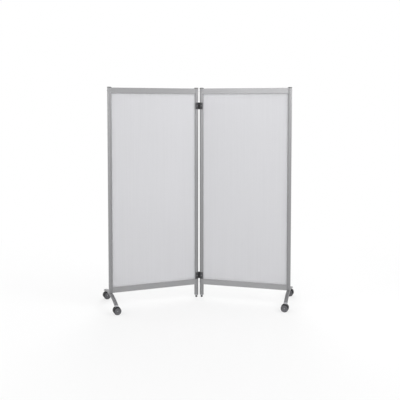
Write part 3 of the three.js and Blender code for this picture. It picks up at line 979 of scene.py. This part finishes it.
def bent_tube_tree():
    sizes = ("Bend Radius", "Half Angle", "Width", "Height")
    kinds = {**{size: "Float" for size in sizes}, "Steps": "Int"}
    tree, given, keys = new_tree("bent_oval_tube", kinds)

    def math_node(operation, first, second):
        values = {0: first, 1: second}
        return add_node(tree, "ShaderNodeMath", values, operation=operation).outputs[0]

    bend = add_node(
        tree,
        "GeometryNodeCurveArc",
        {
            "Radius": given["Bend Radius"],
            "Resolution": given["Steps"],
            "Start Angle": math_node("SUBTRACT", math.pi / 2, given["Half Angle"]),
            "Sweep Angle": math_node("MULTIPLY", given["Half Angle"], 2),
        },
    )
    sides = {"Width": given["Height"], "Height": given["Width"]}
    box = add_node(tree, "GeometryNodeCurvePrimitiveQuadrilateral", sides)
    corners = {
        "Curve": box.outputs["Curve"],
        "Count": CORNER_COUNT,
        "Limit Radius": True,
        "Radius": math_node("MULTIPLY", given["Height"], END_SHARE),
    }
    oval_curve = add_node(tree, "GeometryNodeFilletCurve", corners, mode="POLY")
    curves = {
        "Curve": bend.outputs["Curve"],
        "Profile Curve": oval_curve.outputs["Curve"],
        "Fill Caps": True,
    }
    end_tree(tree, given, add_node(tree, "GeometryNodeCurveToMesh", curves).outputs["Mesh"])
    return tree, keys

# %% Feet
FOOT_RADIUS = 0.780
FOOT_TUBE_WIDTH = 0.030
FOOT_TUBE_HEIGHT = 0.015
FOOT_OVERHANG = 0.014  # tube past the caster stem
ARCH_STEPS = 48
SPIGOT_LENGTH = 0.060
SPIGOT_SINK = 0.003  # below the tube's top
BUSH_DIAMETER = 0.016
BUSH_TOP = 0.028  # below the tube's middle line at the post, so inside the tube
STEM_DIAMETER = 0.010
STEM_LENGTH = 0.014
STEM_ROOM = 0.0005  # of the bush's bore above the stem

tube_tree, tube_keys = bent_tube_tree()
stem_reach = flat(middle("right_front_caster_stem") - middle("right_outer_cap")).length
arch_end = stem_reach + FOOT_OVERHANG
arch_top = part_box("right_outer_post")[0].z - SEAT_GAP
arch_centre = arch_top - FOOT_TUBE_HEIGHT / 2 - FOOT_RADIUS
bush_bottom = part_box("right_front_caster_stem")[1].z - STEM_LENGTH
print("stems from the post:", round(stem_reach, 4), "tube top:", round(arch_top, 4))


def foot_solid():
    empty = bpy.data.objects.new("foot_base", bpy.data.meshes.new("foot_base"))
    bpy.context.scene.collection.objects.link(empty)
    settings = {
        "Bend Radius": FOOT_RADIUS,
        "Half Angle": math.asin(arch_end / FOOT_RADIUS),
        "Width": FOOT_TUBE_WIDTH,
        "Height": FOOT_TUBE_HEIGHT,
        "Steps": ARCH_STEPS,
        "Material": finishes["silver_paint"],
    }
    tube = grown("foot_tube", empty, tube_tree, tube_keys, settings)
    upright = Matrix.Rotation(math.pi / 2, 4, "Z") @ Matrix.Rotation(math.pi / 2, 4, "X")
    tube.transform(lifted(arch_centre) @ upright)
    parts = [("UNION", insert_solid(arch_top - SPIGOT_SINK, arch_top + SPIGOT_LENGTH))]
    radius, top = BUSH_DIAMETER / 2, arch_centre + FOOT_RADIUS - BUSH_TOP
    bush = [(0, bush_bottom), (radius, bush_bottom), (radius, top), (0, top)]
    bush = rounded(bush, [0, 0.0008, 0, 0], closed=False)
    bore_top = bush_bottom + STEM_LENGTH + STEM_ROOM
    for y in (-stem_reach, stem_reach):
        at_stem = Matrix.Translation((0, y, 0))
        bore = rod(STEM_DIAMETER / 2 + SEAT_GAP, bush_bottom - 2 * BOND, bore_top, 40)
        parts.append(("UNION", moved(turned(bush, 40), at_stem)))
        parts.append(("DIFFERENCE", moved(bore, at_stem)))
    return worked(tube, *parts)


for panel in PANELS:
    place = post_place(panel, "outer")
    # the feet take the darker copy of the silver paint, which is painted shade
    stand_in(f"{panel}_foot", foot_solid(), place, "foot_silver_painted_shade")

# %% [markdown]
# Each end of the foot's tube is closed by a pale push-in plug. Its flange follows the oval and
# has a soft edge, so it is lofted from ovals that shrink towards its outer face.

# %% Plugs in the ends of the feet
PLUG_FLANGE = 0.0025
PLUG_NECK = 0.0045
TUBE_WALL = 0.0015


def foot_plug_solid():
    outside = oval(FOOT_TUBE_WIDTH, FOOT_TUBE_HEIGHT)
    flange = raised(outside, SEAT_GAP, SEAT_GAP + PLUG_FLANGE, 0.0007)
    less = 2 * (TUBE_WALL + SEAT_GAP)
    inside = oval(FOOT_TUBE_WIDTH - less, FOOT_TUBE_HEIGHT - less)
    return worked(flange, ("UNION", raised(inside, -PLUG_NECK, SEAT_GAP + BOND)))


def tube_end_place(panel, end):
    """The frame at the tube's end, with z out of it; end is the sign of y."""
    slope = math.asin(arch_end / FOOT_RADIUS)
    height = arch_centre + FOOT_RADIUS * math.cos(slope)
    outwards = Matrix.Rotation(-end * (math.pi / 2 + slope), 4, "X")
    at_end = Matrix.Translation((0, end * arch_end, height)) @ outwards
    return panel_axes[panel] @ Matrix.Translation((outer_post_x, 0, 0)) @ at_end


for panel in PANELS:
    for end, backwards in (("front", -1), ("rear", 1)):
        place = tube_end_place(panel, backwards * BACKWARDS[panel])
        stand_in(f"{panel}_{end}_foot_plug", foot_plug_solid(), place, "pale_plastic")

# %% [markdown]
# ## Hinges
#
# A hinge leaf is a dark moulded clip that grips the post from the hinge side and is open where
# the sheet passes. The left leaf carries two knuckles and the right leaf one between them, on one
# pin. Two flats on each leaf meet the other leaf's and stop the fold. The clip, the web and the
# knuckle are joined, cut and then eased along every edge.

# %% Hinge leaves
HINGE_HEIGHT = 0.054
CLIP_WALL = 0.0027
CLIP_MOUTH = 51  # degrees from the panel's plane to each lip
CLIP_SIDES = 64
LEAF_EDGE = 0.0005
STOP_ANGLE = 49  # degrees from the panel's plane to each stop flat
KNUCKLE_DIAMETER = 0.011
KNUCKLE_CLEARANCE = 0.0005
KNUCKLE_WEB = 0.009
PIN_DIAMETER = 0.005


def knuckle_spans(middle_leaf):
    """The heights of a leaf's knuckles, from the hinge's middle."""
    half, joint = HINGE_HEIGHT / 2, HINGE_HEIGHT / 4
    if middle_leaf:
        return [(-joint + SEAT_GAP / 2, joint - SEAT_GAP / 2)]
    return [(-half, -joint - SEAT_GAP / 2), (joint + SEAT_GAP / 2, half)]


def clip_outline():
    centre = (inner_post_x, 0)
    inner = POST_DIAMETER / 2 + SEAT_GAP
    outside = arc(inner + CLIP_WALL, CLIP_MOUTH, 360 - CLIP_MOUTH, CLIP_SIDES, centre)
    inside = arc(inner, 360 - CLIP_MOUTH, CLIP_MOUTH, CLIP_SIDES, centre)
    return outside + inside


def upright_solid(outline, low, high):
    return loft([[(x, y, z) for x, y in outline] for z in (low, high)])


def hinge_leaf_solid(middle_leaf):
    half = HINGE_HEIGHT / 2
    past = half + BOND
    far = 2 * inner_post_x + POST_DIAMETER / 2
    rise = far * math.tan(math.radians(STOP_ANGLE))
    web_end = inner_post_x - POST_DIAMETER / 2 - SEAT_GAP - CLIP_WALL / 2
    web = [(x, y * KNUCKLE_WEB / 2) for x, y in [(0, -1), (web_end, -1), (web_end, 1), (0, 1)]]
    room = KNUCKLE_DIAMETER / 2 + KNUCKLE_CLEARANCE
    own, other = knuckle_spans(middle_leaf), knuckle_spans(not middle_leaf)
    steps = [("DIFFERENCE", rod(room, low - SEAT_GAP, high + SEAT_GAP, 48)) for low, high in other]
    steps += [("UNION", upright_solid(web, low, high)) for low, high in own]
    steps.append(("INTERSECT", upright_solid([(0, 0), (far, -rise), (far, rise)], -past, past)))
    steps += [("UNION", rod(KNUCKLE_DIAMETER / 2, low, high, 48)) for low, high in own]
    steps.append(("DIFFERENCE", rod(PIN_DIAMETER / 2 + SEAT_GAP, -past, past, 32)))
    return eased(worked(upright_solid(clip_outline(), -half, half), *steps), LEAF_EDGE)


for panel in PANELS:
    for level in ("upper", "lower"):
        node = f"{panel}_{level}_hinge_leaf"
        leaf = hinge_leaf_solid(middle_leaf=panel == "right")
        stand_in(node, leaf, panel_axes[panel] @ lifted(middle(node).z), "hinge_plastic")

# %% Hinge pins
PIN_HEAD_DIAMETER = 0.009
PIN_HEAD_HEIGHT = 0.0022


def hinge_pin_solid(low, high):
    shank, head = PIN_DIAMETER / 2, PIN_HEAD_DIAMETER / 2
    seat = high - PIN_HEAD_HEIGHT
    profile = [(0, low), (shank, low), (shank, seat), (head, seat), (head, high), (0, high)]
    return turned(rounded(profile, [0, 0.0009, 0, 0.0002, 0.0014, 0], closed=False), 40)


for level in ("upper", "lower"):
    node = f"{level}_hinge_pin"
    low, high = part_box(node)
    pin = hinge_pin_solid(low.z, high.z)
    stand_in(node, pin, Matrix.Translation(pin_axis), "zinc_steel")

# %% [markdown]
# ## Casters
#
# A twin-wheel caster has a black housing between its wheels, with a hood over their outer top
# side. Each grey wheel has a dished face with raised rings and a soft tyre. These are turned
# shapes on the axle. The hood is turned too, but only through part of a circle.

# %% The axes of a caster
WHEEL_WIDTH = 0.0155
WHEEL_SPACING = 0.014
TYRE_THICKNESS = 0.003
TYRE_CROWN = 0.0008
AXLE_DIAMETER = 0.005
HUB_RADIUS = 0.0065
RIM_WALL = 0.0025
WHEEL_WEB = 0.0025
WHEEL_RECESS = 0.003
WHEEL_SIDES = 96
AXLE_BORE_HALF = 0.03  # past the housing on both sides
wheel_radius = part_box("right_front_caster_tyre_a")[1].z / 2
inside_face = WHEEL_SPACING / 2
outside_face = inside_face + WHEEL_WIDTH
caster_names = [f"{panel}_{end}_caster" for panel in PANELS for end in ("front", "rear")]
caster_axes = {c: axes_from(middle(f"{c}_stem"), middle(f"{c}_axle")) for c in caster_names}
trail = flat(middle("right_front_caster_axle") - middle("right_front_caster_stem")).length
print("wheel radius:", round(wheel_radius, 4), "trail:", round(trail, 4))


def wheel_place(caster, end):
    """The axle's frame, with z along the axle towards one end and its origin at the middle."""
    to_axle = Matrix.Translation((trail, 0, wheel_radius))
    return caster_axes[caster] @ to_axle @ Matrix.Rotation(-end * math.pi / 2, 4, "X")

# %% Wheels and tyres
def wheel_solid():
    """The wheel about its axle, which is z here: hub, web and rim, then its face's rings."""
    rim = wheel_radius - TYRE_THICKNESS - SEAT_GAP
    bore = AXLE_DIAMETER / 2 + SEAT_GAP
    web_out = outside_face - WHEEL_RECESS
    web_in = web_out - WHEEL_WEB
    points = [
        (bore, inside_face),
        (HUB_RADIUS, inside_face),
        (HUB_RADIUS, web_in),
        (rim - RIM_WALL, web_in),
        (rim - RIM_WALL, inside_face),
        (rim, inside_face),
        (rim, outside_face),
        (rim - 0.0026, outside_face),
        (rim - 0.0034, web_out + 0.0008),
        (0.0180, web_out + 0.0006),
        (0.0176, web_out + 0.0013),
        (0.0166, web_out + 0.0013),
        (0.0162, web_out + 0.0004),
        (0.0098, web_out + 0.0002),
        (0.0090, web_out + 0.0018),
        (0.0040, web_out + 0.0018),
        (bore, web_out + 0.0009),
    ]
    radii = [0, 0.0004, 0.0006, 0.0006, 0.0004, 0.0003, 0.0003, 0.0006, 0.0005]
    radii += [0.0003] * 4 + [0.0008, 0.0006, 0.0006, 0]
    return turned(rounded(points, radii, steps=3), WHEEL_SIDES, ring=True)


def tyre_solid():
    bore = wheel_radius - TYRE_THICKNESS
    shoulder = wheel_radius - TYRE_CROWN
    low, high = inside_face + SEAT_GAP, outside_face - SEAT_GAP
    middle_line = (wheel_radius, (low + high) / 2)
    points = [(bore, low), (shoulder, low), middle_line, (shoulder, high), (bore, high)]
    profile = rounded(points, [0, 0.0022, 0.03, 0.0022, 0], steps=5)
    return turned(profile, WHEEL_SIDES, ring=True)


def axle_solid():
    half = outside_face - WHEEL_RECESS
    radius = AXLE_DIAMETER / 2
    points = [(0, -half), (radius, -half), (radius, half), (0, half)]
    return turned(rounded(points, [0, 0.0007, 0.0007, 0], closed=False), 32)


for caster in caster_names:
    for label, end in (("a", -1), ("b", 1)):
        place = wheel_place(caster, end)
        stand_in(f"{caster}_wheel_{label}", wheel_solid(), place, "wheel_plastic")
        stand_in(f"{caster}_tyre_{label}", tyre_solid(), place, "tyre_rubber")
    stand_in(f"{caster}_axle", axle_solid(), wheel_place(caster, 1), "zinc_steel")

# %% [markdown]
# The housing is one moulding: a flat cheek between the wheels, the hood across the top and a
# collar for the stem. The wheels' room is cut out of the collar, and both bores are drilled.

# %% Caster housings
HOOD_GAP = 0.0008
HOOD_WALL = 0.0017
HOOD_START = 78  # degrees above the trailing side
HOOD_END = 192
HUB_WALL = 0.003
CHEEK_HUB_START = 240  # degrees, as for the hood
CHEEK_HUB_END = 390
HOUSING_CLEARANCE = 0.0006
COLLAR_DIAMETER = 0.0155
COLLAR_RISE = 0.001
COLLAR_SINK = 0.0068
PIVOT_DIAMETER = 0.008
PIVOT_LENGTH = 0.021
hood_radius = wheel_radius + HOOD_GAP + HOOD_WALL
collar_top = wheel_radius + hood_radius + COLLAR_RISE


def hood_solid():
    """The hood about the axle, which is z here, with the trailing side on +x."""
    half = outside_face
    inner = hood_radius - HOOD_WALL
    section = [(inner, -half), (hood_radius, -half), (hood_radius, half), (inner, half)]
    rounds = [0.0004, 0.0014, 0.0014, 0.0004]
    return turned(rounded(section, rounds, steps=4), 40, True, HOOD_START, HOOD_END)


def cheek_solid():
    half = inside_face - HOUSING_CLEARANCE
    outline = arc(hood_radius - HOOD_WALL / 2, HOOD_START, HOOD_END, 40)
    outline += arc(HUB_RADIUS + HUB_WALL, CHEEK_HUB_START, CHEEK_HUB_END, 24)
    return eased(upright_solid(outline, -half, half), 0.0008, 30, 3)


def wheel_room_solid(side):
    near, far = inside_face - HOUSING_CLEARANCE, outside_face + BOND
    room = rod(wheel_radius + HOOD_GAP, near, far, WHEEL_SIDES)
    return moved(room, Matrix.Rotation(0 if side > 0 else math.pi, 4, "X"))


def housing_solid():
    to_axle = Matrix.Translation((trail, 0, wheel_radius))
    about_axle = to_axle @ Matrix.Rotation(math.pi / 2, 4, "X")
    radius = COLLAR_DIAMETER / 2
    foot_z = wheel_radius + hood_radius - COLLAR_SINK
    profile = [(0, foot_z), (radius, foot_z), (radius, collar_top), (0, collar_top)]
    collar = turned(rounded(profile, [0, 0, 0.0008, 0], closed=False), 48)
    bodies = worked(
        collar,
        ("DIFFERENCE", moved(wheel_room_solid(1), about_axle)),
        ("DIFFERENCE", moved(wheel_room_solid(-1), about_axle)),
        ("UNION", moved(cheek_solid(), about_axle)),
        ("UNION", moved(hood_solid(), about_axle)),
    )
    pivot_bottom = collar_top - PIVOT_LENGTH - BOND
    pivot = rod(PIVOT_DIAMETER / 2 + SEAT_GAP, pivot_bottom, collar_top + BOND, 40)
    axle = rod(AXLE_DIAMETER / 2 + SEAT_GAP, -AXLE_BORE_HALF, AXLE_BORE_HALF, 32)
    return worked(bodies, ("DIFFERENCE", pivot), ("DIFFERENCE", moved(axle, about_axle)))


for caster in caster_names:
    stand_in(f"{caster}_housing", housing_solid(), caster_axes[caster], "black_plastic")

# %% Caster stems
STEM_FLANGE = 0.0012
RING_GROOVE_WIDTH = 0.0015
RING_GROOVE_DEPTH = 0.0008


def stem_solid(top):
    shank, pivot, flange = STEM_DIAMETER / 2, PIVOT_DIAMETER / 2, COLLAR_DIAMETER / 2
    seat = collar_top + SEAT_GAP
    tip = seat - PIVOT_LENGTH
    groove_low = tip + RING_GROOVE_WIDTH
    groove_high = groove_low + RING_GROOVE_WIDTH
    points = [
        (0, tip),
        (pivot, tip),
        (pivot, groove_low),
        (pivot - RING_GROOVE_DEPTH, groove_low),
        (pivot - RING_GROOVE_DEPTH, groove_high),
        (pivot, groove_high),
        (pivot, seat),
        (flange, seat),
        (flange, seat + STEM_FLANGE),
        (shank, seat + STEM_FLANGE),
        (shank, top),
        (0, top),
    ]
    radii = [0, 0.0006, 0, 0, 0, 0, 0.0002, 0.0003, 0.0004, 0.0004, 0.0008, 0]
    return turned(rounded(points, radii, steps=3, closed=False), 48)


for caster in caster_names:
    node = f"{caster}_stem"
    stand_in(node, stem_solid(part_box(node)[1].z), caster_axes[caster], "zinc_steel")

# %% [markdown]
# ## Screws
#
# Button-head screws hold the rails through the posts, and one clamps each hinge leaf to its post.
# They repeat, so one screw is modelled with its hexagon socket and Geometry Nodes puts a copy on
# every point of a small mesh, turned to face the way that the point's own attribute says.

# %% A node tree that puts screws on points
SCREW_HEAD_RADIUS = 0.0038
SCREW_HEAD_HEIGHT = 0.0019
SCREW_SHANK_RADIUS = 0.0016
SCREW_SHANK_LENGTH = 0.0012
SOCKET_ACROSS = 0.0028
SOCKET_DEPTH = 0.0012
SCREW_SIDES = 36


def screw_loop(height, radius_at):
    angles = [2 * math.pi * k / SCREW_SIDES for k in range(SCREW_SIDES)]
    return [(radius_at(a) * math.cos(a), radius_at(a) * math.sin(a), height) for a in angles]


def hexagon_radius(angle, across=SOCKET_ACROSS):
    sixth = math.pi / 3
    return across / 2 / math.cos((angle + sixth / 2) % sixth - sixth / 2)


def screw_solid():
    """A button head on z = 0 with a hexagon socket, and a short shank below it."""
    loops = [screw_loop(z, lambda a: SCREW_SHANK_RADIUS) for z in (-SCREW_SHANK_LENGTH, 0)]
    rim = 0.6 * SOCKET_ACROSS  # the round edge of the dome, just outside the hexagon's corners
    last = math.degrees(math.acos(rim / SCREW_HEAD_RADIUS))
    top = SCREW_HEAD_HEIGHT / math.sin(math.radians(last))
    for radius, height in arc(SCREW_HEAD_RADIUS, 0, last, 8):
        share = height / SCREW_HEAD_RADIUS
        loops.append(screw_loop(share * top, lambda a, radius=radius: radius))
    for z in (SCREW_HEAD_HEIGHT, SCREW_HEAD_HEIGHT - SOCKET_DEPTH):
        loops.append(screw_loop(z, hexagon_radius))
    return loft(loops)


def screws_tree():
    tree, given, keys = new_tree("screws_on_points", {"Screw": "Object", "Size": "Float"})
    screw = add_node(tree, "GeometryNodeObjectInfo", {"Object": given["Screw"]})
    named = {"Name": "facing"}
    facing = add_node(tree, "GeometryNodeInputNamedAttribute", named, data_type="FLOAT_VECTOR")
    way = {"Vector": facing.outputs["Attribute"]}
    aim = add_node(tree, "FunctionNodeAlignRotationToVector", way, axis="Z")
    copies = {
        "Points": given["Geometry"],
        "Instance": screw.outputs["Geometry"],
        "Rotation": aim.outputs["Rotation"],
        "Scale": given["Size"],
    }
    end_tree(tree, given, add_node(tree, "GeometryNodeInstanceOnPoints", copies).outputs[0])
    return tree, keys

# %% Screws
def screw_points(panel):
    """Where each screw of a panel sits, and the way its head faces, in the panel's axes."""
    points = []
    radius = POST_DIAMETER / 2
    for rail in ("top_rail", "bottom_rail"):
        z = middle(f"{panel}_{rail}").z
        points.append(((outer_post_x + radius, 0, z), (1, 0, 0)))
        points.append(((inner_post_x - radius, 0, z), (-1, 0, 0)))
    front = -BACKWARDS[panel]
    clip = radius + SEAT_GAP + CLIP_WALL
    for level in ("upper", "lower"):
        z = middle(f"{panel}_{level}_hinge_leaf").z
        points.append(((inner_post_x, front * clip, z), (0, front, 0)))
    return points


def screws_base(panel):
    points = screw_points(panel)
    mesh = bpy.data.meshes.new("screw_points")
    mesh.from_pydata([place for place, _ in points], [], [])
    facing = mesh.attributes.new("facing", "FLOAT_VECTOR", "POINT")
    for i, (_, direction) in enumerate(points):
        facing.data[i].vector = direction
    base = bpy.data.objects.new("screw_points", mesh)
    bpy.context.scene.collection.objects.link(base)
    return base


put_screws, screw_keys = screws_tree()
screw = plain_object("screw", screw_solid(), Matrix.Identity(4))
settings = {"Screw": screw, "Size": 1.0, "Material": finishes["screw_steel"]}
for panel in PANELS:
    name = f"{panel}_screws"
    heads = grown(name, screws_base(panel), put_screws, screw_keys, settings)
    screws = plain_object(name, heads, panel_axes[panel])
    coated(screws, "screw_steel")
    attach(screws, f"{panel}_panel")
bpy.data.objects.remove(screw)

# %% Sizes, and the end
low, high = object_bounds()
print("finished size:", [round(size, 4) for size in high - low])
